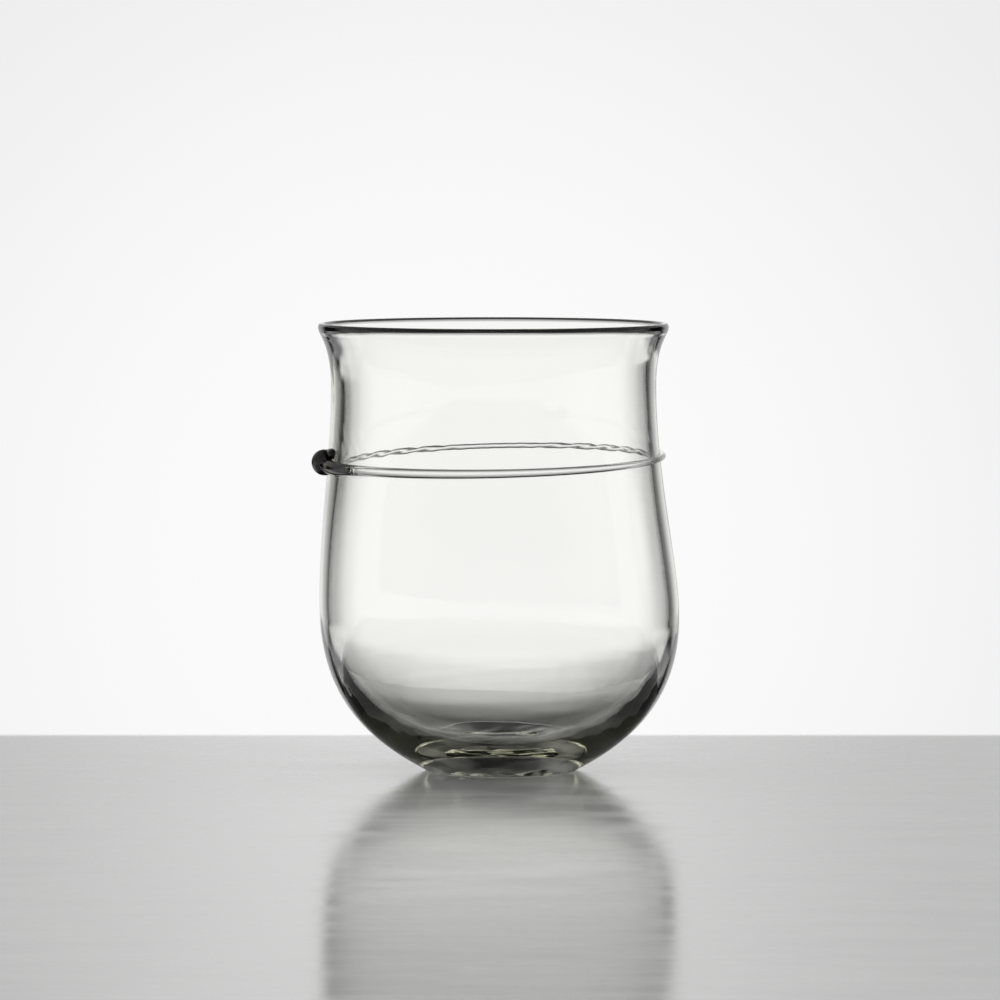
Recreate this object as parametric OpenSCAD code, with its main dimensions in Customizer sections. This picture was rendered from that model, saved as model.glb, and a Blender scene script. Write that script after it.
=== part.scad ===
// A hand-blown drinking glass: one blown bowl with a flared, fire-polished lip and a heavy base,
// and a glass thread laid once round its waist, from a round bead to a folded end.
// Millimetres. The origin is the centre of the resting face, with +Z up and the bead towards -X.

/* [Bowl outline] */
// Height from the resting face to the top of the lip
height = 102.4; // [96:0.1:112]
// Diameter over the lip
lip_d = 80.3; // [77:0.1:88]
// Slope of the wall at the lip, measured from upright
lip_a = 29; // [15:1:40]
// Diameter of the waist
neck_d = 74.2; // [70:0.1:77]
// Height of the lip above the waist
lip_rise = 14.9; // [12:0.1:19]
// Diameter of the belly
belly_d = 82.2; // [78:0.1:90]
// Height of the belly's widest place
belly_z = 36.6; // [32:0.1:42]
// Diameter of the flat resting face
foot_d = 32.4; // [28:0.1:36]
// Slope of the underside where it leaves the resting face, measured from level
foot_a = 28; // [20:1:35]
// Radius of the edge of the resting face
foot_round = 3; // [1:0.1:5]
// Diameter of the hollow pushed up into the base
kick_d = 20; // [14:0.5:24]
// Depth of the hollow in the base
kick_h = 0.9; // [0.4:0.1:2]

/* [Bowl thickness] */
// Thickness of the rounded lip
lip_t = 2.1; // [1.6:0.1:2.8]
// Thickness of the wall at the waist
neck_t = 2.6; // [1.8:0.1:3]
// Thickness of the wall at the belly
belly_t = 2.1; // [1.5:0.1:2.7]
// Thickness of the glass over the hollow in the base
floor_t = 2.7; // [2.2:0.1:6]

/* [Wound thread] */
// Mean distance of the thread below the waist
thread_drop = 16.15; // [12:0.05:25]
// How much higher the thread runs at the back than at the mean
back_lift = 1.3; // [0:0.1:2.5]
// How much higher the thread runs on the side across from the bead
side_lift = 0.7; // [0:0.1:2]
// Diameter of the thread where it leaves the bead
start_d = 3.1; // [2.4:0.1:3.3]
// Diameter of the thread once it is clear of the bead
body_d = 2.25; // [1.4:0.05:2.4]
// Diameter of the thread at the end of its turn
end_d = 1.2; // [0.9:0.05:1.4]
// Diameter of the round tip of the folded end
tip_d = 2.3; // [1.6:0.1:2.6]

/* [Bead] */
// Diameter of the bead that starts the thread
bead_d = 6; // [5:0.1:7]
// Distance from the wall's outer face to the bead's centre
bead_proud = 1.6; // [1:0.1:2]
// Direction of the bead from the axis, counter-clockwise from +X
bead_a = 191; // [180:1:200]
// Height of the bead's centre above the thread's path
bead_rise = 0.5; // [0:0.1:1]

/* [Hidden] */

// Facets of a full circle
$fn = 96;

// Steps along each stretch of the outline
curve_steps = 18;
lip_steps = 8;
round_steps = 10;
kick_steps = 6;

// Lengths of the outline's curve handles, as shares of the height that each curve climbs
foot_handle_share = 0.386;
belly_low_share = 0.553;
belly_high_share = 0.26;
neck_low_share = 0.34;
neck_high_share = 0.395;
lip_handle_share = 0.378;
// Lengths of the inside's floor handles, as shares of its radius and of its height
floor_handle_share = 0.681;
floor_rise_share = 0.508;

// Clearance of the thread and the bead from the face that they lie on
seat_gap = 0.03;
// How far the thread's centre stands off the wall, as a share of the thread's radius
thread_seat_share = 0.82;
// The same at the tip of the folded end, which sits deeper
tip_seat_share = 0.35;
// Angle round the bowl in which the thick start of the thread dies away, and how sharply
swell_a = 20;
swell_power = 6;
// Angle round the bowl in which the thread thins to its end diameter
taper_a = 130;
// Distance from the bead's centre to the face where the thread starts, as a share of the bead's radius
joint_share = 0.77;
// Route of the folded end over the bead, as shares of the bead's radius from its centre,
// along the turn and up: it leaves the turn, crosses the top of the bead and comes down in front
climb_shares = [[-2.17, 0], [-1.07, 0], [-0.87, 0.97], [0, 0.95]];
drop_shares = [[0, 0.95], [0.4, 0.94], [0.73, 0.83], [0.93, 0.67]];

// Rings of the thread round the turn, over the bead, and in the round tip, and sides of each ring
turn_steps = 84;
fold_steps = 9;
tip_steps = 4;
thread_sides = 12;

// Point of the cubic curve with the four control points c, and the points along it
function curve_at(c, t) =
    pow(1 - t, 3) * c[0]
    + 3 * pow(1 - t, 2) * t * c[1]
    + 3 * (1 - t) * pow(t, 2) * c[2]
    + pow(t, 3) * c[3];
function curve(c, steps) = [for (i = [0:steps]) curve_at(c, i / steps)];
// The same points without the last, where the next stretch begins
function open_curve(c, steps) = [for (i = [0:steps - 1]) curve_at(c, i / steps)];
function reversed(list) = [for (i = [len(list) - 1:-1:0]) list[i]];

// Heights of the waist and, on the mean, of the thread
neck_z = height - lip_rise;
thread_z = neck_z - thread_drop;

// Bowl outline, as radius and height
lip_c = [lip_d / 2 - lip_t / 2, height - lip_t / 2];
lip_out = lip_c + lip_t / 2 * [cos(lip_a), -sin(lip_a)];
lip_in = lip_c - lip_t / 2 * [cos(lip_a), -sin(lip_a)];
lip_dir = [sin(lip_a), cos(lip_a)];
foot_start = [foot_d / 2 + foot_round * sin(foot_a), foot_round * (1 - cos(foot_a))];
foot_dir = [cos(foot_a), sin(foot_a)];
up = [0, 1];
floor_z = kick_h + floor_t;
kick_r = kick_d / 2;
kick_arc_r = (pow(kick_r, 2) + pow(kick_h, 2)) / (2 * kick_h);

// A wall stretch from the belly to the waist, and one from the waist to the lip
function waist_curve(belly, neck) =
    let (climb = neck.y - belly.y)
    [belly, belly + climb * belly_high_share * up, neck - climb * neck_low_share * up, neck];
function flare_curve(neck, lip) =
    let (climb = lip.y - neck.y)
    [neck, neck + climb * neck_high_share * up, lip - climb * lip_handle_share * lip_dir, lip];

belly_out = [belly_d / 2, belly_z];
neck_out = [neck_d / 2, neck_z];
belly_in = [belly_d / 2 - belly_t, belly_z];
neck_in = [neck_d / 2 - neck_t, neck_z];

kick_points = [for (i = [0:kick_steps])
    let (r = kick_r * i / kick_steps)
    [r, kick_h - kick_arc_r + sqrt(pow(kick_arc_r, 2) - pow(r, 2))]];
foot_points = [for (i = [0:kick_steps - 1])
    let (a = foot_a * i / kick_steps)
    [foot_d / 2 + foot_round * sin(a), foot_round * (1 - cos(a))]];
cup_out = [
    foot_start,
    foot_start + belly_z * foot_handle_share * foot_dir,
    belly_out - belly_z * belly_low_share * up,
    belly_out
];
cup_in = [
    [0, floor_z],
    [belly_in.x * floor_handle_share, floor_z],
    belly_in - (belly_z - floor_z) * floor_rise_share * up,
    belly_in
];
wall_out = concat(
    open_curve(cup_out, curve_steps),
    open_curve(waist_curve(belly_out, neck_out), curve_steps),
    open_curve(flare_curve(neck_out, lip_out), lip_steps)
);
wall_in = concat(
    open_curve(cup_in, curve_steps),
    open_curve(waist_curve(belly_in, neck_in), curve_steps),
    curve(flare_curve(neck_in, lip_in), lip_steps)
);
lip_points = [for (i = [0:round_steps - 1])
    let (a = -lip_a + 180 * i / round_steps)
    lip_c + lip_t / 2 * [cos(a), sin(a)]];

// Outer radius of the bowl at a height above the belly
wall_table = [for (p = concat(
    open_curve(waist_curve(belly_out, neck_out), curve_steps),
    curve(flare_curve(neck_out, lip_out), lip_steps)
)) [p.y, p.x]];
function wall_r(z) = lookup(z, wall_table);

// Bead and thread
bead_r = bead_d / 2;
bead_z = path_z(bead_a) + bead_rise;
bead_axis_r = wall_r(bead_z) + bead_proud;
bead_c = polar(bead_axis_r, bead_a, bead_z);
joint_a = asin(bead_r * joint_share / bead_axis_r);
turn_start_a = bead_a + joint_a;
fold_start_a = bead_a + 360 + along_to_angle(bead_r * climb_shares[0].x);

function polar(r, a, z) = [r * cos(a), r * sin(a), z];
function path_z(a) = thread_z + back_lift * sin(a) + side_lift * cos(a);
function along_to_angle(s) = s / bead_axis_r * 180 / PI;
function blend(a, b, w) = a + (b - a) * w;

// Thickness of the thread after an angle from its start
function turn_d(a) =
    end_d
    + (body_d - end_d) * exp(-pow(a / taper_a, 2))
    + (start_d - body_d) / (1 + pow(a / swell_a, swell_power));

// A station of the thread is its angle, height, radius, seat share and climb angle
turn_stations = [for (i = [0:turn_steps - 1])
    let (a = blend(turn_start_a, fold_start_a, i / turn_steps))
    [a, path_z(a), turn_d(a - turn_start_a) / 2, thread_seat_share, 0]];

// The folded end's route on the bowl, as distance along the turn and up from the bead's centre.
// Its first two control points lie on the turn's own path
fold_low = path_z(fold_start_a) - bead_z;
climb_curve = [for (i = [0:3]) [climb_shares[i].x * bead_r, i < 2 ? fold_low : climb_shares[i].y * bead_r]];
drop_curve = drop_shares * bead_r;
fold_route = concat(open_curve(climb_curve, fold_steps), curve(drop_curve, fold_steps));
fold_last = len(fold_route) - 1;
function fold_heading(i) =
    let (v = fold_route[min(i + 1, fold_last)] - fold_route[max(i - 1, 0)])
    atan2(v.y, v.x);
fold_stations = [for (i = [0:fold_last])
    let (w = i / fold_last)
    [
        bead_a + 360 + along_to_angle(fold_route[i].x),
        bead_z + fold_route[i].y,
        blend(turn_d(fold_start_a - turn_start_a), tip_d, pow(w, 2)) / 2,
        blend(thread_seat_share, tip_seat_share, w),
        i == 0 ? 0 : fold_heading(i)
    ]];
tip_stations = [for (i = [1:tip_steps])
    let (
        g = 90 * i / (tip_steps + 1),
        end = fold_stations[fold_last],
        reach = end[2] * sin(g)
    )
    [
        end[0] + along_to_angle(reach * cos(end[4])),
        end[1] + reach * sin(end[4]),
        end[2] * cos(g),
        tip_seat_share * end[2] / (end[2] * cos(g)),
        end[4]
    ]];
stations = concat(turn_stations, fold_stations, tip_stations);

// Moves a point of the thread out of the wall, and then out of the bead
function off_wall(p) =
    let (r = norm([p.x, p.y]), low = wall_r(p.z) + seat_gap)
    r < low ? [p.x * low / r, p.y * low / r, p.z] : p;
bead_out = [cos(bead_a), sin(bead_a), 0];
function off_bead(p) =
    let (
        q = p - bead_c,
        depth = q * bead_out,
        across = q - depth * bead_out,
        low = sqrt(max(0, pow(bead_r + seat_gap, 2) - pow(depth, 2)))
    )
    norm(across) < low ? bead_c + depth * bead_out + across * low / norm(across) : p;

// Ring of points round a station
function ring(s) =
    let (
        c = polar(wall_r(s[1]) + s[3] * s[2], s[0], s[1]),
        out = [cos(s[0]), sin(s[0]), 0],
        side = [sin(s[4]) * sin(s[0]), -sin(s[4]) * cos(s[0]), cos(s[4])]
    )
    [for (k = [0:thread_sides - 1])
        let (g = 360 * k / thread_sides)
        c + s[2] * (cos(g) * out + sin(g) * side)];
function ring_points(i) = [for (p = ring(stations[i])) i < turn_steps ? off_wall(p) : off_bead(off_wall(p))];

// Skin of a tube through rings of points
function tube_faces(rings, sides) = concat(
    [[for (k = [0:sides - 1]) k]],
    [for (i = [0:rings - 2], k = [0:sides - 1])
        let (a = i * sides + k, b = i * sides + (k + 1) % sides)
        each [[a, a + sides, b], [b, a + sides, b + sides]]],
    [[for (k = [sides - 1:-1:0]) (rings - 1) * sides + k]]
);

// Half of the bowl's section, or its outer outline filled in and grown by a clearance
module bowl_section() {
    polygon(concat(kick_points, foot_points, wall_out, lip_points, reversed(wall_in)));
}

module outer_section(grow) {
    outline = concat(wall_out, [lip_out]);
    polygon(concat([[0, 0]], [for (p = outline) [p.x + grow, p.y]], [[0, lip_out.y]]));
}

module bowl() {
    color([0.78, 0.83, 0.8, 0.45])
    rotate_extrude()
    bowl_section();
}

module thread() {
    points = [for (i = [0:len(stations) - 1]) each ring_points(i)];
    color([0.45, 0.5, 0.45, 0.8])
    polyhedron(points, tube_faces(len(stations), thread_sides), convexity = 10);
}

module bead() {
    color([0.3, 0.33, 0.28, 0.9])
    difference() {
        translate(bead_c)
        rotate([0, 90, bead_a])
        sphere(d = bead_d);
        rotate_extrude()
        outer_section(seat_gap);
        rotate([0, 0, turn_start_a])
        translate([0, 0, bead_z - bead_d])
        cube([bead_axis_r + bead_d, bead_d, 2 * bead_d]);
    }
}

bowl();
thread();
bead();
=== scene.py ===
import math

import bpy
import numpy as np
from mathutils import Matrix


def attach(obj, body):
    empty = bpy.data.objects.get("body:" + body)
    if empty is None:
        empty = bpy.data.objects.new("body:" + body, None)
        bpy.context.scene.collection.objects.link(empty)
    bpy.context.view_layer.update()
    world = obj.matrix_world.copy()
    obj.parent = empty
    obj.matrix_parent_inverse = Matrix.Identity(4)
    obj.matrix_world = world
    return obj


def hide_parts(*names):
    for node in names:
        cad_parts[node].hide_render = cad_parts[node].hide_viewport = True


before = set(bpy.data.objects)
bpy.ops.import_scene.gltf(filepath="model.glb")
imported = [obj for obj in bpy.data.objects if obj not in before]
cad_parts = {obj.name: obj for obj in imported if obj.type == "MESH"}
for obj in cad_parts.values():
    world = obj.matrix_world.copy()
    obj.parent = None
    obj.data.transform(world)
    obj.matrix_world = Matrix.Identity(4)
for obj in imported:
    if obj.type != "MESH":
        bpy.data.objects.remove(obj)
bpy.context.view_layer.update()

MM = 0.001

# Bowl outline and thickness, as in the CAD bowl
HEIGHT = 102.4 * MM
LIP_R = 40.15 * MM
LIP_A = math.radians(29)
LIP_T = 2.1 * MM
NECK_R = 37.1 * MM
NECK_Z = 87.5 * MM
NECK_T = 2.6 * MM
BELLY_R = 41.1 * MM
BELLY_Z = 36.6 * MM
BELLY_T = 2.1 * MM
FOOT_R = 16.2 * MM
FOOT_A = math.radians(28)
FOOT_ROUND = 3 * MM
KICK_R = 10 * MM
KICK_H = 0.9 * MM
FLOOR_Z = 3.6 * MM

# Curve handles, as shares of the height that each curve climbs
FOOT_SHARE = 0.386
BELLY_LOW_SHARE = 0.553
BELLY_HIGH_SHARE = 0.26
NECK_LOW_SHARE = 0.34
NECK_HIGH_SHARE = 0.395
NECK_IN_SHARE = 0.5
LIP_SHARE = 0.378
FLOOR_SHARE = 0.681
FLOOR_RISE_SHARE = 0.508

# Steps along each part of the bowl's outline, and sides round it
CUP_STEPS = 90
CUP_IN_STEPS = 110
WAIST_STEPS = 80
FLARE_STEPS = 40
KICK_STEPS = 15
FLAT_STEPS = 7
EDGE_STEPS = 7
LIP_STEPS = 25
TURN_SIDES = 288

# How far the hand-blown bowl leans and drifts sideways, and the height where it crosses its own axis
LEAN = 0.75 * MM
LEAN_SPAN = 18 * MM
DRIFT = 0.15 * MM
CROSS_Z = 48 * MM

# How far the inside stands off the outside's centre above the belly, which thins one side's wall
CORE_SHIFT = 0.4 * MM
CORE_Z = 62 * MM
CORE_SPAN = 10 * MM
CORE_END = (82 * MM, 99 * MM)

# Length of the lip's rounding along the wall, as a share of half its thickness
LIP_TAPER = 1.7

# Trail of glass: height, rise to the back and to the far side, and thickness along its turn
THREAD_Z = 71.43 * MM
BACK_LIFT = 1.3 * MM
SIDE_LIFT = 0.7 * MM
START_R = 1.55 * MM
BODY_R = 1.16 * MM
END_R = 0.6 * MM
TIP_R = 1.15 * MM
SWELL_A = math.radians(20)
SWELL_POWER = 6
TAPER_A = math.radians(130)
SEAT_SHARE = 0.82
TIP_SEAT_SHARE = 0.35
SEAT_GAP = 0.03 * MM

# Bead that starts the trail
BEAD_R = 3 * MM
BEAD_PROUD = 1.25 * MM
BEAD_A = math.radians(191)
BEAD_RISE = 0.5 * MM
DIP = 0.3 * MM
DIP_A = math.radians(14)
DIP_SPAN = math.radians(12)

# How the round start runs into the trail: where its rings begin and end, how sharply the two outlines
# join, and where the trail settles from the bead's middle on the wall, in shares of the bead's radius
BEAD_CAP_A = 0.12
BEAD_RINGS = 12
BEAD_LEAVE = 1.5 * BEAD_R
LEAVE_RINGS = 21
JOIN_POWER = 6
SETTLE_FROM = 0.2
SETTLE_SPAN = 1.1

# Route of the folded end over the bead, in shares of the bead's radius, along the turn and up
CLIMB_SHARES = ((-2.17, 0), (-1.07, 0), (-0.87, 0.8), (0, 0.8))
DROP_SHARES = ((0, 0.8), (0.45, 0.8), (0.9, 0.82), (1.3, 0.7))
FOLD_STEPS = 26
TIP_STEPS = 11

# Lengths of the trail, apart by the split, and the distance past the bead's middle up to which it is dark
SPLIT_GAP = 0.02 * MM
DARK_END = 17 * MM
START_RINGS = 30
THREAD_RINGS = 400
TRAIL_SIDES = 32

# Twist of the thread, strongest halfway to the back on either side
TWIST_DEPTH = 0.16 * MM
TWIST_SIZE = 8 * MM

# Camera: the photograph's viewing place and angle
CAMERA_FAR = 1466 * MM
CAMERA_UP = 153.1 * MM
CAMERA_SIDE = 0.6 * MM
CAMERA_TILT = math.radians(3.56)
LENS = 231.5
SENSOR = 36
CLIP_NEAR = 0.05
CLIP_FAR = 50

# Bounces that light may take in the glass
MAX_BOUNCES = 24
GLOSSY_BOUNCES = 16


def bezier(points, steps):
    """Points along the cubic curve with these four control points."""
    t = np.linspace(0, 1, steps + 1)[:, None]
    a, b, c, d = (np.array(p, float) for p in points)
    return (1 - t) ** 3 * a + 3 * (1 - t) ** 2 * t * b + 3 * (1 - t) * t ** 2 * c + t ** 3 * d


def climb(low, high, low_share, high_share, top=(0, 1)):
    """Control points of a wall curve that leaves low upright and reaches high along top."""
    rise = high[1] - low[1]
    start = (low[0], low[1] + rise * low_share)
    end = (high[0] - rise * high_share * top[0], high[1] - rise * high_share * top[1])
    return low, start, end, high


LIP_C = (LIP_R - LIP_T / 2, HEIGHT - LIP_T / 2)
LIP_OUT = (LIP_C[0] + LIP_T / 2 * math.cos(LIP_A), LIP_C[1] - LIP_T / 2 * math.sin(LIP_A))
LIP_IN = (LIP_C[0] - LIP_T / 2 * math.cos(LIP_A), LIP_C[1] + LIP_T / 2 * math.sin(LIP_A))
LIP_DIR = (math.sin(LIP_A), math.cos(LIP_A))
FOOT_START = (FOOT_R + FOOT_ROUND * math.sin(FOOT_A), FOOT_ROUND * (1 - math.cos(FOOT_A)))


def outer_wall():
    """Outer outline from the edge of the foot to the lip, as radius and height."""
    belly = (BELLY_R, BELLY_Z)
    neck = (NECK_R, NECK_Z)
    reach = BELLY_Z * FOOT_SHARE
    foot_end = (FOOT_START[0] + reach * math.cos(FOOT_A), FOOT_START[1] + reach * math.sin(FOOT_A))
    low = (BELLY_R, BELLY_Z * (1 - BELLY_LOW_SHARE))
    cup = bezier((FOOT_START, foot_end, low, belly), CUP_STEPS)
    waist = bezier(climb(belly, neck, BELLY_HIGH_SHARE, NECK_LOW_SHARE), WAIST_STEPS)
    flare = bezier(climb(neck, LIP_OUT, NECK_HIGH_SHARE, LIP_SHARE, LIP_DIR), FLARE_STEPS)
    return np.vstack((cup[:-1], waist[:-1], flare))


def inner_wall():
    """Inner outline from the middle of the floor to the lip."""
    belly = (BELLY_R - BELLY_T, BELLY_Z)
    neck = (NECK_R - NECK_T, NECK_Z)
    low = (belly[0], BELLY_Z - (BELLY_Z - FLOOR_Z) * FLOOR_RISE_SHARE)
    cup = bezier(((0, FLOOR_Z), (belly[0] * FLOOR_SHARE, FLOOR_Z), low, belly), CUP_IN_STEPS)
    waist = bezier(climb(belly, neck, BELLY_HIGH_SHARE, NECK_LOW_SHARE), WAIST_STEPS)
    flare = bezier(climb(neck, LIP_IN, NECK_IN_SHARE, LIP_SHARE, LIP_DIR), FLARE_STEPS)
    return np.vstack((cup[:-1], waist[:-1], flare))


OUTER = outer_wall()
INNER = inner_wall()


def wall_r(z):
    """Outer radius of the bowl at a height."""
    return np.interp(z, OUTER[:, 1], OUTER[:, 0])


def lean(z):
    """Sideways place of the bowl's own centre at a height."""
    return LEAN * np.tanh((CROSS_Z - z) / LEAN_SPAN) - DRIFT * (z - CROSS_Z) / CROSS_Z


def ease(t):
    """Smooth step from 0 to 1 while t does the same."""
    t = np.clip(t, 0, 1)
    return t * t * (3 - 2 * t)


def core_shift(z):
    """Sideways place of the inside against the outside at a height."""
    rise = 0.5 * CORE_SHIFT * (1 + np.tanh((z - CORE_Z) / CORE_SPAN))
    return rise * (1 - ease((z - CORE_END[0]) / (CORE_END[1] - CORE_END[0])))


def taper_lip(points):
    """Draws the round lip out into a longer rounding along the wall."""
    along = np.array(LIP_DIR)
    across = np.array((LIP_DIR[1], -LIP_DIR[0]))
    top = np.array(LIP_C) + LIP_T / 2 * along
    half = LIP_T / 2
    reach = half * LIP_TAPER
    down = (top - points) @ along
    side = (points - top) @ across
    old = half * np.sqrt(np.clip(1 - (1 - np.clip(down / half, 0, 1)) ** 2, 0, 1))
    new = half * np.sqrt(np.clip(1 - (1 - np.clip(down / reach, 0, 1)) ** 2, 0, 1))
    move = np.where((down < reach) & (points[:, 1] > NECK_Z), np.sign(side) * (new - old), 0)
    return points + move[:, None] * across


def mesh_object(name, points, faces, material):
    """Smooth-shaded object with this mesh and material, in the scene."""
    mesh = bpy.data.meshes.new(name)
    mesh.from_pydata([tuple(p) for p in points], [], faces)
    mesh.validate()
    mesh.update()
    mesh.polygons.foreach_set("use_smooth", [True] * len(mesh.polygons))
    mesh.materials.append(material)
    piece = bpy.data.objects.new(name, mesh)
    bpy.context.scene.collection.objects.link(piece)
    return piece


def waves(seed, count, around, along, angle, height, slants=(-1, 1)):
    """Sum of sine waves of even strength over the wall, between -1 and 1 or so.
    around is the range of waves per turn and along the range of waves per metre of height."""
    rng = np.random.default_rng(seed)
    total = np.zeros_like(angle)
    for _ in range(count):
        m = rng.integers(around[0], around[1] + 1)
        k = rng.uniform(along[0], along[1]) * rng.choice(slants)
        phase = rng.uniform(0, math.tau)
        total += np.sin(m * angle + math.tau * k * height + phase)
    return total / math.sqrt(count)


def lumps(seed, x, y):
    """Even sum of plane waves over the floor, in seeded directions."""
    rng = np.random.default_rng(seed)
    total = np.zeros_like(x)
    for _ in range(LUMP_WAVES):
        size = rng.uniform(*LUMP_SIZE)
        way = rng.uniform(0, math.tau)
        phase = rng.uniform(0, math.tau)
        total += np.sin(math.tau * (x * math.cos(way) + y * math.sin(way)) / size + phase)
    return total / math.sqrt(LUMP_WAVES)


# Lumps of the floor inside and of the hollow under the base
LUMP_WAVES = 10
LUMP_SIZE = (4 * MM, 10 * MM)
LUMP_R = 13 * MM
LUMP_SPAN = 2 * MM
FLOOR_LUMP = 0.12 * MM
KICK_LUMP = 0.05 * MM

# Waves of the wall's face: their number, range per turn and range per metre of height, and their depth.
# Cords run up the wall, tool marks slant across it where the thread was laid, and rings lie round its foot
CORD_WAVES = (8, (18, 60), (0, 12))
CORD_DEPTH = 0.003 * MM
TOOL_WAVES = (3, (60, 70), (200, 240))
TOOL_DEPTH = 0.002 * MM
TOOL_Z = 75 * MM
TOOL_SPAN = 5 * MM
RING_WAVES = (7, (0, 5), (120, 420))
RING_DEPTH = 0.006 * MM
RING_TOP = 24 * MM
RING_SPAN = 1.5 * MM

# Faint ridge just under the lip, inside
RIDGE_Z = 100.5 * MM
RIDGE_SPAN = 0.5 * MM
RIDGE_DEPTH = 0.02 * MM

# Seeds of the waves outside and inside, and of the lumps of the floor and of the hollow
OUTER_SEED = 11
INNER_SEED = 31
FLOOR_SEED = 51
KICK_SEED = 71

# Which face of the wall a ring of the outline lies on
OUTSIDE = 1
INSIDE = -1
NEITHER = 0


def waviness(angle, height, seed):
    """How far the wall's face stands off its true place."""
    cords = CORD_DEPTH * waves(seed, *CORD_WAVES, angle, height)
    tool = TOOL_DEPTH * waves(seed + 1, *TOOL_WAVES, angle, height, (1,))
    tool *= np.exp(-((height - TOOL_Z) / TOOL_SPAN) ** 2)
    rings = RING_DEPTH * waves(seed + 2, *RING_WAVES, angle, height)
    rings /= 1 + np.exp((height - RING_TOP) / RING_SPAN)
    return cords + tool + rings


def bowl_rings():
    """Outline of the glass from the hollow in the base, round the lip, to the middle of the floor,
    and the face that each of its points lies on."""
    kick_arc = (KICK_R ** 2 + KICK_H ** 2) / (2 * KICK_H)
    r = np.linspace(0, KICK_R, KICK_STEPS + 1)[1:]
    kick = np.c_[r, KICK_H - kick_arc + np.sqrt(kick_arc ** 2 - r ** 2)]
    flat = np.c_[np.linspace(KICK_R, FOOT_R, FLAT_STEPS + 1)[1:], np.zeros(FLAT_STEPS)]
    a = np.linspace(0, FOOT_A, EDGE_STEPS + 1)[1:-1]
    edge = np.c_[FOOT_R + FOOT_ROUND * np.sin(a), FOOT_ROUND * (1 - np.cos(a))]
    b = np.linspace(-LIP_A, math.pi - LIP_A, LIP_STEPS + 1)[1:-1]
    lip = np.c_[LIP_C[0] + LIP_T / 2 * np.cos(b), LIP_C[1] + LIP_T / 2 * np.sin(b)]
    inside = INNER[::-1][:-1]
    base = [(kick, NEITHER), (flat, NEITHER), (edge, NEITHER)]
    faces = base + [(OUTER, OUTSIDE), (lip, NEITHER), (inside, INSIDE)]
    rings = taper_lip(np.vstack([f for f, _ in faces]))
    side = np.concatenate([np.full(len(f), s) for f, s in faces])
    return rings, side


def make_bowl(material):
    """The blown bowl: its outline turned round the axis, with the waves, lumps and lean of hand work."""
    rings, side = bowl_rings()
    count = len(rings)
    outside = (side == OUTSIDE)[:, None]
    inside = (side == INSIDE)[:, None]
    angle = np.linspace(0, math.tau, TURN_SIDES, endpoint=False)
    grid_a, grid_r = np.meshgrid(angle, rings[:, 0])
    grid_z = np.repeat(rings[:, 1][:, None], TURN_SIDES, axis=1)
    outer = outside * waviness(grid_a, grid_z, OUTER_SEED)
    inner = inside * waviness(grid_a, grid_z, INNER_SEED)
    ridge = inside * RIDGE_DEPTH * np.exp(-((grid_z - RIDGE_Z) / RIDGE_SPAN) ** 2)
    grid_r = grid_r + outer + inner + ridge
    shift = lean(grid_z) + inside * core_shift(grid_z)
    x = grid_r * np.cos(grid_a)
    y = grid_r * np.sin(grid_a)
    floor = inside / (1 + np.exp((grid_r - LUMP_R) / LUMP_SPAN))
    hollow = (side == NEITHER)[:, None] * np.clip(1 - (grid_r / KICK_R) ** 2, 0, 1)
    grid_z = grid_z + FLOOR_LUMP * floor * lumps(FLOOR_SEED, x, y)
    grid_z = grid_z + KICK_LUMP * hollow * lumps(KICK_SEED, x, y)
    points = np.c_[(x + shift).ravel(), y.ravel(), grid_z.ravel()]
    middle = np.zeros(1)
    floor_lump = FLOOR_LUMP * float(lumps(FLOOR_SEED, middle, middle)[0])
    kick_lump = KICK_LUMP * float(lumps(KICK_SEED, middle, middle)[0])
    poles = np.array([(lean(0), 0, KICK_H + kick_lump), (lean(0), 0, FLOOR_Z + floor_lump)])
    points = np.vstack((points, poles))
    faces = []
    for i in range(count - 1):
        for j in range(TURN_SIDES):
            a = i * TURN_SIDES + j
            b = i * TURN_SIDES + (j + 1) % TURN_SIDES
            faces.append((a, b, b + TURN_SIDES, a + TURN_SIDES))
    last = (count - 1) * TURN_SIDES
    for j in range(TURN_SIDES):
        k = (j + 1) % TURN_SIDES
        faces.append((count * TURN_SIDES, k, j))
        faces.append((count * TURN_SIDES + 1, last + j, last + k))
    return mesh_object("blown_bowl", points, faces, material)


def path_z(a):
    """Height of the thread's middle, which dips a little just after the bead."""
    dip = DIP * np.exp(-((a - BEAD_A - DIP_A) / DIP_SPAN) ** 2)
    return THREAD_Z + BACK_LIFT * np.sin(a) + SIDE_LIFT * np.cos(a) - dip


def turn_r(a):
    """Radius of the trail after an angle from the bead."""
    a = np.abs(a)
    swell = (START_R - BODY_R) / (1 + (a / SWELL_A) ** SWELL_POWER)
    return END_R + (BODY_R - END_R) * np.exp(-(a / TAPER_A) ** 2) + swell


BEAD_Z = float(path_z(BEAD_A)) + BEAD_RISE
BEAD_AXIS_R = float(wall_r(BEAD_Z)) + BEAD_PROUD
BEAD_C = np.array((BEAD_AXIS_R * math.cos(BEAD_A), BEAD_AXIS_R * math.sin(BEAD_A), BEAD_Z))


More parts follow.
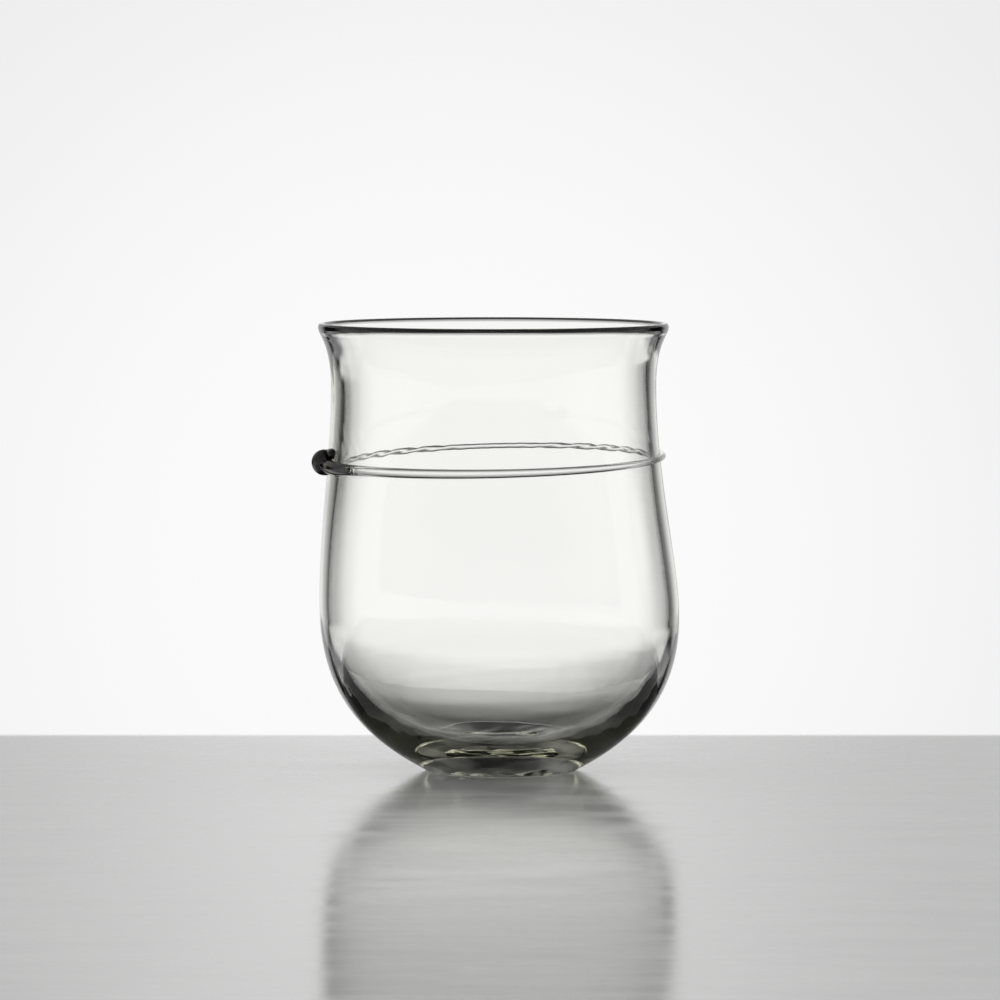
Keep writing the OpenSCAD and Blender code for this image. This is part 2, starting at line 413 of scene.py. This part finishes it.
def bead_stations():
    """Stations of the round start: angle, height, ring radius, distance from the axis and heading."""
    cap = -BEAD_R * np.cos(np.linspace(BEAD_CAP_A, math.pi / 2, BEAD_RINGS))
    leave = np.linspace(0, BEAD_LEAVE, LEAVE_RINGS + 1)[1:]
    out = []
    for s in np.concatenate((cap, leave)):
        a = BEAD_A + s / BEAD_AXIS_R
        drop = math.sqrt(max(BEAD_R ** 2 - s ** 2, 0))
        thread = float(turn_r(s / BEAD_AXIS_R)) * ease((s + BEAD_R) / BEAD_R)
        joined = (drop ** JOIN_POWER + thread ** JOIN_POWER) ** (1 / JOIN_POWER)
        radius = joined if s > 0 else drop
        w = float(ease((s - SETTLE_FROM * BEAD_R) / (SETTLE_SPAN * BEAD_R)))
        seat = wall_r(path_z(a)) + SEAT_SHARE * float(turn_r(s / BEAD_AXIS_R))
        z = (1 - w) * BEAD_Z + w * float(path_z(a))
        r = (1 - w) * BEAD_AXIS_R + w * float(seat)
        out.append((a, z, radius, r, 0))
    return out


def turn_stations(start, end, count):
    """Stations of the even thread, from one distance past the bead's middle to another."""
    out = []
    for s in np.linspace(start, end, count):
        a = BEAD_A + s / BEAD_AXIS_R
        radius = float(turn_r(a - BEAD_A))
        z = float(path_z(a))
        out.append((a, z, radius, float(wall_r(z)) + SEAT_SHARE * radius, 0))
    return out


def fold_stations():
    """Stations of the trail's end, which climbs over the bead and folds down in front of it."""
    start = BEAD_A + math.tau + (CLIMB_SHARES[0][0] * BEAD_R + SPLIT_GAP) / BEAD_AXIS_R
    low = (float(path_z(start)) - BEAD_Z) / BEAD_R
    climb_points = [(x, low if i < 2 else y) for i, (x, y) in enumerate(CLIMB_SHARES)]
    route = np.vstack((bezier(climb_points, FOLD_STEPS)[:-1], bezier(DROP_SHARES, FOLD_STEPS))) * BEAD_R
    heading = np.arctan2(np.gradient(route[:, 1]), np.gradient(route[:, 0]))
    w = np.linspace(0, 1, len(route))
    out = []
    for (s, up), h, share in zip(route, heading, w):
        radius = (1 - share ** 2) * float(turn_r(start - BEAD_A)) + share ** 2 * TIP_R
        seat = (1 - share) * SEAT_SHARE + share * TIP_SEAT_SHARE
        z = BEAD_Z + up
        out.append((BEAD_A + math.tau + s / BEAD_AXIS_R, z, radius, float(wall_r(z)) + seat * radius, h))
    a, z, radius, r, h = out[-1]
    for g in np.linspace(0, math.pi / 2, TIP_STEPS + 1)[1:-1]:
        reach = radius * math.sin(g)
        tip_a = a + reach * math.cos(h) / BEAD_AXIS_R
        out.append((tip_a, z + reach * math.sin(h), radius * math.cos(g), r, h))
    return out


def off_wall(points):
    """Moves points that lie in the wall out to its face."""
    r = np.hypot(points[:, 0], points[:, 1])
    low = wall_r(points[:, 2]) + SEAT_GAP
    scale = np.where(r < low, low / r, 1)
    points[:, 0] *= scale
    points[:, 1] *= scale
    return points


def trail_ring(station):
    """Points of one ring of the trail, twisted in the back half of its turn."""
    a, z, radius, r, heading = station
    centre = np.array((r * math.cos(a), r * math.sin(a), z))
    out = np.array((math.cos(a), math.sin(a), 0))
    side = np.array((math.sin(heading) * math.sin(a), -math.sin(heading) * math.cos(a), math.cos(heading)))
    g = np.linspace(0, math.tau, TRAIL_SIDES, endpoint=False)[:, None]
    depth = TWIST_DEPTH * math.sin(2 * a) ** 2 if math.sin(a) > 0 else 0
    twist = depth * np.sin(2 * g + math.tau * a * r / TWIST_SIZE)
    return off_wall(centre + (radius + twist) * (np.cos(g) * out + np.sin(g) * side))


def make_trail(name, stations, material):
    """One closed length of the drawn-out trail of glass."""
    rings = [trail_ring(s) for s in stations]
    first = rings[0].mean(axis=0)
    last = rings[-1].mean(axis=0)
    points = np.vstack(rings + [first[None], last[None]])
    points[:, 0] += lean(points[:, 2])
    faces = []
    for i in range(len(rings) - 1):
        for k in range(TRAIL_SIDES):
            a = i * TRAIL_SIDES + k
            b = i * TRAIL_SIDES + (k + 1) % TRAIL_SIDES
            faces.append((a, a + TRAIL_SIDES, b + TRAIL_SIDES, b))
    end = (len(rings) - 1) * TRAIL_SIDES
    for k in range(TRAIL_SIDES):
        j = (k + 1) % TRAIL_SIDES
        faces.append((len(rings) * TRAIL_SIDES, k, j))
        faces.append((len(rings) * TRAIL_SIDES + 1, end + j, end + k))
    return mesh_object(name, points, faces, material)


def add(tree, kind, **values):
    """New node of a kind, with its properties, or its inputs by their names with spaces as underscores."""
    made = tree.nodes.new(kind)
    for key, value in values.items():
        name = key.replace("_", " ")
        if hasattr(made, key):
            setattr(made, key, value)
        elif hasattr(value, "is_linked"):
            tree.links.new(value, made.inputs[name])
        else:
            made.inputs[name].default_value = value
    return made


def calc(tree, operation, a, b=0.0, c=0.0):
    """Output of a Math node on two or three numbers or sockets."""
    made = tree.nodes.new("ShaderNodeMath")
    made.operation = operation
    for socket, value in zip(made.inputs, (a, b, c)):
        if hasattr(value, "is_linked"):
            tree.links.new(value, socket)
        else:
            socket.default_value = value
    return made.outputs[0]


def ramp(tree, value, low, high, to_low=0.0, to_high=1.0):
    """Output that eases from to_low to to_high while value goes from low to high."""
    made = tree.nodes.new("ShaderNodeMapRange")
    made.interpolation_type = "SMOOTHSTEP"
    tree.links.new(value, made.inputs["Value"])
    for name, number in (("From Min", low), ("From Max", high), ("To Min", to_low), ("To Max", to_high)):
        made.inputs[name].default_value = number
    return made.outputs["Result"]


def blank_material(name):
    """New material with an empty node tree, and that tree."""
    material = bpy.data.materials.new(name)
    material.use_nodes = True
    material.node_tree.nodes.clear()
    return material, material.node_tree


def blend(tree, share, low, high):
    """low where share is 0, high where it is 1."""
    kept = calc(tree, "MULTIPLY", low, calc(tree, "SUBTRACT", 1.0, share))
    return calc(tree, "MULTIPLY_ADD", share, high, kept)


# Glass: how it bends light, its handling marks, and the bead's own place, round which its waves are deeper
GLASS_IOR = 1.5
SMEAR_SCALE = 90.0
SMEAR_EDGE = (0.6, 0.75)
SMEAR_ROUGH = 0.012
KNOT_NEAR = 3 * MM
KNOT_FAR = 6 * MM
KNOT_DEPTH = 6.0

# Each glass: its colour, how strongly its depth tints, and the size and depth of its waves
BOWL_GLASS = ((0.78, 0.79, 0.5), 20, 14 * MM, 0.01 * MM)
THREAD_GLASS = ((0.42, 0.43, 0.3), 25, 2.5 * MM, 0.02 * MM)
START_GLASS = ((0.5, 0.48, 0.32), 750, 2.5 * MM, 0.02 * MM)
# The glass of the bead and fold has its own amber tint, deepened to near black as painted shade for the
# dark surroundings seen through the rounded bead
BEAD_TINT_AND_SHADE = ((0.5, 0.48, 0.4), 1800, 2.5 * MM, 0.02 * MM)


def glass(name, tint, density, wave_size, wave_depth, knot=None):
    """Clear glass that tints light by its depth, with a faint hand-made waviness and faint handling marks.
    Round the knot, if one is given, the waves are much deeper."""
    material, tree = blank_material(name)
    place = add(tree, "ShaderNodeTexCoord").outputs["Object"]
    body = add(tree, "ShaderNodeBsdfPrincipled")
    body.inputs["Base Color"].default_value = (1, 1, 1, 1)
    body.inputs["Transmission Weight"].default_value = 1
    body.inputs["IOR"].default_value = GLASS_IOR
    smears = add(tree, "ShaderNodeTexNoise", Vector=place, Scale=SMEAR_SCALE, Detail=4.0)
    rough = ramp(tree, smears.outputs["Fac"], *SMEAR_EDGE, 0.0, SMEAR_ROUGH)
    tree.links.new(rough, body.inputs["Roughness"])
    wave = add(tree, "ShaderNodeTexNoise", Vector=place, Scale=1 / wave_size, Detail=1.0)
    height = wave.outputs["Fac"]
    if knot is not None:
        far = add(tree, "ShaderNodeVectorMath", operation="DISTANCE")
        tree.links.new(place, far.inputs[0])
        far.inputs[1].default_value = knot
        near = ramp(tree, far.outputs["Value"], KNOT_NEAR, KNOT_FAR, KNOT_DEPTH, 1.0)
        height = calc(tree, "MULTIPLY", height, near)
    bump = add(tree, "ShaderNodeBump", Height=height, Distance=wave_depth, Strength=1.0)
    tree.links.new(bump.outputs["Normal"], body.inputs["Normal"])
    depth = add(tree, "ShaderNodeVolumeAbsorption")
    depth.inputs["Color"].default_value = (*tint, 1)
    depth.inputs["Density"].default_value = density
    out = add(tree, "ShaderNodeOutputMaterial")
    tree.links.new(body.outputs[0], out.inputs["Surface"])
    tree.links.new(depth.outputs[0], out.inputs["Volume"])
    return material


# Table top: its size, its colour, and the stretch, size and strength of its cloudy marks
TABLE_FRONT = -700 * MM
TABLE_BACK = 80 * MM
TABLE_SIDE = 400 * MM
TABLE_FADE = 8 * MM
TABLE_COLOR = (0.44, 0.44, 0.435)
CLOUD_STRETCH = (7, 16, 1)
CLOUD_SCALE = 4.0
CLOUD_EDGE = (0.3, 0.7)
CLOUD_TONE = (0.9, 1.06)
CLOUD_ROUGH = (0.1, 0.17)

# All rays but those straight from the camera, so mainly those that met the glass, find the table ending
# nearer, with a bowed edge, painted shade by the foot, painted light behind it, and its own tone from a
# distance on
GLASS_BACK = 64 * MM
GLASS_FADE = 3 * MM
GLASS_BOW = 5.0
BOW_EDGE = (10 * MM, 45 * MM)
BOW_SIDE = 75 * MM
PAINTED_SHADE_NEAR = 0.28
PAINTED_LIGHT_BEHIND = 1.5
PALE_EDGE = (14 * MM, 56 * MM)
PAINTED_SIDE_SHADE = 0.12
SIDE_SHADE = (29 * MM, 37 * MM)
SIDE_SLANT = 0.8
SIDE_BACK = 20 * MM
SHADE_EDGE = (75 * MM, 110 * MM)

# For the same rays a painted glow lights the table under the foot, where little light comes through the
# glass
UNDER_EDGE = (13 * MM, 22 * MM)
UNDER_MIDDLE = (4 * MM, 14 * MM)
PAINTED_GLOW_LEVELS = (0.022, 0.11)
SPOT_SCALE = 100.0
SPOT_EDGE = (0.35, 0.65)
SPOT_SHARE = (0.4, 1.6)


def painted_under_glow(tree, place, across, reach):
    """Painted glow of the table under the foot, in spots, stronger at its sides."""
    side = ramp(tree, calc(tree, "ABSOLUTE", across), *UNDER_MIDDLE, *PAINTED_GLOW_LEVELS)
    spots = add(tree, "ShaderNodeTexNoise", Vector=place, Scale=SPOT_SCALE, Detail=2.0)
    side = calc(tree, "MULTIPLY", side, ramp(tree, spots.outputs["Fac"], *SPOT_EDGE, *SPOT_SHARE))
    return calc(tree, "MULTIPLY", side, ramp(tree, reach, *UNDER_EDGE, 1.0, 0.0))


def painted_shade_through_glass(tree, along, across, reach):
    """How pale the table is to the rays that met the glass: painted shade by and beside the foot, painted
    light behind it, and its own tone far off.
    """
    back = calc(tree, "ABSOLUTE", along)
    side = calc(tree, "ABSOLUTE", across)
    past = calc(tree, "MAXIMUM", calc(tree, "SUBTRACT", back, SIDE_BACK), 0.0)
    side = calc(tree, "MULTIPLY_ADD", past, -SIDE_SLANT, side)
    pale = ramp(tree, back, *PALE_EDGE, PAINTED_SHADE_NEAR, PAINTED_LIGHT_BEHIND)
    pale = calc(tree, "MULTIPLY", pale, ramp(tree, side, *SIDE_SHADE, 1.0, PAINTED_SIDE_SHADE))
    return blend(tree, ramp(tree, reach, *SHADE_EDGE), pale, 1.0)


def table_material():
    """Pale varnished table top with faint cloudy marks, fading out behind; near the foot it has painted
    shade, painted light and a painted glow for all rays but the camera's own.
    """
    material, tree = blank_material("table_top")
    place = add(tree, "ShaderNodeTexCoord").outputs["Object"]
    stretch = add(tree, "ShaderNodeMapping", Vector=place)
    stretch.inputs["Scale"].default_value = CLOUD_STRETCH
    cloud = add(tree, "ShaderNodeTexNoise", Vector=stretch.outputs[0], Scale=CLOUD_SCALE, Detail=6.0)
    path = add(tree, "ShaderNodeLightPath")
    seen = path.outputs["Is Camera Ray"]
    unseen = calc(tree, "SUBTRACT", 1.0, seen)
    parts = add(tree, "ShaderNodeSeparateXYZ", Vector=place)
    along = parts.outputs["Y"]
    across = parts.outputs["X"]
    square = calc(tree, "MULTIPLY", across, across)
    reach = calc(tree, "SQRT", calc(tree, "MULTIPLY_ADD", along, along, square))
    bow = calc(tree, "MINIMUM", square, BOW_SIDE ** 2)
    bow = calc(tree, "MULTIPLY", bow, ramp(tree, along, *BOW_EDGE, 0.0, GLASS_BOW))
    bowed = calc(tree, "ADD", along, bow)
    tone = ramp(tree, cloud.outputs["Fac"], *CLOUD_EDGE, *CLOUD_TONE)
    # Painted shade and light for all rays but the camera's own; the camera sees the table's own tone
    tone = calc(tree, "MULTIPLY", tone, blend(tree, seen, painted_shade_through_glass(tree, along, across, reach), 1.0))
    shade = add(tree, "ShaderNodeVectorMath", operation="SCALE")
    shade.inputs[0].default_value = TABLE_COLOR
    tree.links.new(tone, shade.inputs["Scale"])
    top = add(tree, "ShaderNodeBsdfPrincipled")
    tree.links.new(shade.outputs[0], top.inputs["Base Color"])
    top.inputs["Emission Color"].default_value = (1, 1, 1, 1)
    # Painted glow under the foot, for all rays but the camera's own
    glow = calc(tree, "MULTIPLY", unseen, painted_under_glow(tree, place, across, reach))
    tree.links.new(glow, top.inputs["Emission Strength"])
    rough = ramp(tree, cloud.outputs["Fac"], *CLOUD_EDGE, *CLOUD_ROUGH)
    tree.links.new(rough, top.inputs["Roughness"])
    soft = ramp(tree, along, TABLE_BACK - TABLE_FADE / 2, TABLE_BACK + TABLE_FADE / 2)
    crisp = ramp(tree, bowed, GLASS_BACK - GLASS_FADE / 2, GLASS_BACK + GLASS_FADE / 2)
    gone = calc(tree, "ADD", calc(tree, "MULTIPLY", soft, seen), calc(tree, "MULTIPLY", crisp, unseen))
    clear = add(tree, "ShaderNodeBsdfTransparent")
    mix = add(tree, "ShaderNodeMixShader", Fac=gone)
    tree.links.new(top.outputs[0], mix.inputs[1])
    tree.links.new(clear.outputs[0], mix.inputs[2])
    out = add(tree, "ShaderNodeOutputMaterial")
    tree.links.new(mix.outputs[0], out.inputs["Surface"])
    return material


def make_table():
    """One flat top under the glass, which isn't part of the object."""
    back = TABLE_BACK + TABLE_FADE
    points = [(-TABLE_SIDE, TABLE_FRONT, 0), (TABLE_SIDE, TABLE_FRONT, 0),
              (TABLE_SIDE, back, 0), (-TABLE_SIDE, back, 0)]
    table = mesh_object("table", points, [(0, 1, 2, 3)], table_material())


def degrees(*angles):
    """These angles in radians."""
    return tuple(math.radians(a) for a in angles)


# Studio, by direction in turn and rise. A wide screen stands behind the glass, paler near its middle and
# narrower towards its foot. Narrow screens stand at the four sides and lower ones at the corners between
# them, with dark gaps that draw the glass's edges
SCREEN = 1.0
GAP = 0.02
MAIN_EDGE = degrees(24, 36)
MAIN_TOP = degrees(16, 26)
MAIN_FOOT = degrees(-32, -24)
MAIN_SLANT = 1.5
MAIN_SLANT_RISE = math.radians(-8)
GLOW_TURN = math.radians(-2.5)
GLOW_EDGE = degrees(2, 20)
GLOW_FAR = 0.4
SIDES = 4
SIDE_EDGE = degrees(5, 28)
SIDE_TOP = degrees(0, 7)
SIDE_FOOT = degrees(-17, -10)
CORNER_EDGE = degrees(7, 19)
CORNER_TOP = degrees(-12, -8)
CORNER_FOOT = degrees(-42, -32)

# Rays mirrored just once, on the glass or the table, find a pale surround at the sides and in front
AROUND = 0.8
AROUND_EDGE = degrees(50, 70)
AROUND_TOP = degrees(8, 16)

# Rays whose last bounce was a mirrored one find a sky over the screens, a dimmer screen beside its middle,
# and a darker room in front
SKY = 0.45
SKY_EDGE = degrees(9, 14)
FALL_EDGE = degrees(0.5, 5)
FALL_FAR = 0.7
FALL_END = degrees(20, 40)
FRONT = 0.3
FRONT_EDGE = degrees(105, 150)

# Diffuse light, such as falls on the table, comes from an even room
ROOM = 0.85

# The camera itself sees a plain backdrop, palest near its middle
BACKDROP = 0.955
BACKDROP_FAR = 0.84
BACKDROP_FADE = degrees(2, 7.5)
BACKDROP_TURN = math.radians(-0.5)
BACKDROP_RISE = math.radians(-4)

# Counts of mirrored and diffuse bounces, set between whole numbers where they are compared
MIRRORED_TWICE = 1.5
COUNT_SLACK = 0.1
DIFFUSE_ONCE = 0.5


def band(tree, rise, foot, top):
    """One between the screen's foot and its top, easing to zero beyond both."""
    return calc(tree, "MULTIPLY", ramp(tree, rise, *foot), ramp(tree, rise, *top, 1.0, 0.0))


def distance(tree, turn, rise, from_turn, from_rise):
    """Angle from a place on the backdrop, near it."""
    off_turn = calc(tree, "SUBTRACT", turn, from_turn)
    off_rise = calc(tree, "SUBTRACT", rise, from_rise)
    square = calc(tree, "MULTIPLY_ADD", off_turn, off_turn, calc(tree, "MULTIPLY", off_rise, off_rise))
    return calc(tree, "SQRT", square)


def spokes(tree, wave, edge):
    """Screens at every peak of the wave, as wide as the edge angles say."""
    return ramp(tree, wave, math.cos(SIDES * edge[1]), math.cos(SIDES * edge[0]))


def main_screen(tree, turn, rise, mirrored):
    """The wide screen behind the glass, even all over for mirrored rays."""
    low = calc(tree, "MAXIMUM", calc(tree, "SUBTRACT", MAIN_SLANT_RISE, rise), 0.0)
    far = calc(tree, "MULTIPLY_ADD", low, MAIN_SLANT, calc(tree, "ABSOLUTE", turn))
    main = ramp(tree, far, *MAIN_EDGE, 1.0, 0.0)
    main = calc(tree, "MULTIPLY", main, band(tree, rise, MAIN_FOOT, MAIN_TOP))
    off = distance(tree, turn, rise, GLOW_TURN, BACKDROP_RISE)
    glow = ramp(tree, off, *GLOW_EDGE, 1.0, GLOW_FAR)
    return calc(tree, "MULTIPLY", main, calc(tree, "MAXIMUM", glow, mirrored))


def screens(tree, turn, rise, mirrored, bounces):
    """All the screens and the dark gaps between them. Rays mirrored twice or more miss the side ones."""
    main = main_screen(tree, turn, rise, mirrored)
    wave = calc(tree, "COSINE", calc(tree, "MULTIPLY", turn, SIDES))
    side = calc(tree, "MULTIPLY", spokes(tree, wave, SIDE_EDGE), band(tree, rise, SIDE_FOOT, SIDE_TOP))
    side = calc(tree, "MULTIPLY", side, calc(tree, "LESS_THAN", bounces, MIRRORED_TWICE))
    between = spokes(tree, calc(tree, "MULTIPLY", wave, -1.0), CORNER_EDGE)
    corner = calc(tree, "MULTIPLY", between, band(tree, rise, CORNER_FOOT, CORNER_TOP))
    pattern = calc(tree, "MAXIMUM", calc(tree, "MAXIMUM", main, side), corner)
    return calc(tree, "MULTIPLY_ADD", pattern, SCREEN - GAP, GAP)


def mirrored_room(tree, turn, rise, lit):
    """What the rays that were mirrored last find, made from what all of them do."""
    aside = calc(tree, "ABSOLUTE", turn)
    sky = calc(tree, "MAXIMUM", lit, ramp(tree, rise, *SKY_EDGE, 0.0, SKY))
    off = calc(tree, "ABSOLUTE", calc(tree, "SUBTRACT", turn, BACKDROP_TURN))
    fall = ramp(tree, off, *FALL_EDGE, 1.0, FALL_FAR)
    beyond = ramp(tree, aside, *FALL_END)
    image = calc(tree, "MULTIPLY", sky, calc(tree, "MAXIMUM", fall, beyond))
    return blend(tree, ramp(tree, aside, *FRONT_EDGE), image, FRONT)


def make_world():
    """The studio, as light finds it by its direction and by the kind of bounces behind it."""
    world = bpy.data.worlds.new("studio")
    bpy.context.scene.world = world
    world.use_nodes = True
    tree = world.node_tree
    tree.nodes.clear()
    way = add(tree, "ShaderNodeSeparateXYZ", Vector=add(tree, "ShaderNodeTexCoord").outputs["Generated"])
    turn = calc(tree, "ARCTAN2", way.outputs["X"], way.outputs["Y"])
    rise = calc(tree, "ARCSINE", way.outputs["Z"])
    path = add(tree, "ShaderNodeLightPath")
    bounces = path.outputs["Glossy Depth"]
    not_through = calc(tree, "SUBTRACT", 1.0, path.outputs["Is Transmission Ray"])
    mirrored = calc(tree, "MULTIPLY", path.outputs["Is Glossy Ray"], not_through)
    lit = screens(tree, turn, rise, mirrored, bounces)
    once = calc(tree, "COMPARE", bounces, 1.0, COUNT_SLACK)
    around = ramp(tree, calc(tree, "ABSOLUTE", turn), *AROUND_EDGE)
    around = calc(tree, "MULTIPLY", around, ramp(tree, rise, *AROUND_TOP, 1.0, 0.0))
    lit = blend(tree, calc(tree, "MULTIPLY", once, around), lit, AROUND)
    lit = blend(tree, mirrored, lit, mirrored_room(tree, turn, rise, lit))
    lit = blend(tree, calc(tree, "GREATER_THAN", path.outputs["Diffuse Depth"], DIFFUSE_ONCE), lit, ROOM)
    off = distance(tree, turn, rise, BACKDROP_TURN, BACKDROP_RISE)
    backdrop = ramp(tree, off, *BACKDROP_FADE, BACKDROP, BACKDROP_FAR)
    lit = blend(tree, path.outputs["Is Camera Ray"], lit, backdrop)
    light = add(tree, "ShaderNodeBackground", Strength=lit, Color=(1, 1, 1, 1))
    out = add(tree, "ShaderNodeOutputWorld")
    tree.links.new(light.outputs[0], out.inputs["Surface"])


def make_camera():
    """The camera at the photograph's place and angle."""
    data = bpy.data.cameras.new("camera")
    data.sensor_width = SENSOR
    data.lens = LENS
    data.clip_start = CLIP_NEAR
    data.clip_end = CLIP_FAR
    camera = bpy.data.objects.new("camera", data)
    camera.location = (CAMERA_SIDE, -CAMERA_FAR, CAMERA_UP)
    camera.rotation_euler = (math.pi / 2 - CAMERA_TILT, 0, 0)
    bpy.context.scene.collection.objects.link(camera)
    bpy.context.scene.camera = camera


make_camera()
make_world()
make_table()

bowl = make_bowl(glass("bowl_glass", *BOWL_GLASS))
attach(bowl, "root")
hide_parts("bowl")

# The trail is shown in four lengths, whose glass is darker the nearer they are to the bead
thread_glass = glass("thread_glass", *THREAD_GLASS)
start_glass = glass("start_glass", *START_GLASS)
# The bead and fold are near black: partly the glass's own amber tint, mostly painted shade
bead_glass = glass("bead_glass", *BEAD_TINT_AND_SHADE, tuple(BEAD_C))
fold_start = math.tau * BEAD_AXIS_R + CLIMB_SHARES[0][0] * BEAD_R
start_route = turn_stations(BEAD_LEAVE + SPLIT_GAP, DARK_END - SPLIT_GAP, START_RINGS)
thread_route = turn_stations(DARK_END, fold_start, THREAD_RINGS)

trail = make_trail("glass_thread", thread_route, thread_glass)
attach(trail, "root")
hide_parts("thread")

bead = make_trail("glass_bead", bead_stations(), bead_glass)
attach(bead, "root")
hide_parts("bead")

start = make_trail("glass_start", start_route, start_glass)
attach(start, "root")

fold = make_trail("glass_fold", fold_stations(), bead_glass)
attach(fold, "root")

bpy.context.scene.view_settings.view_transform = "Standard"
cycles = bpy.context.scene.cycles
cycles.max_bounces = MAX_BOUNCES
cycles.transmission_bounces = MAX_BOUNCES
cycles.glossy_bounces = GLOSSY_BOUNCES
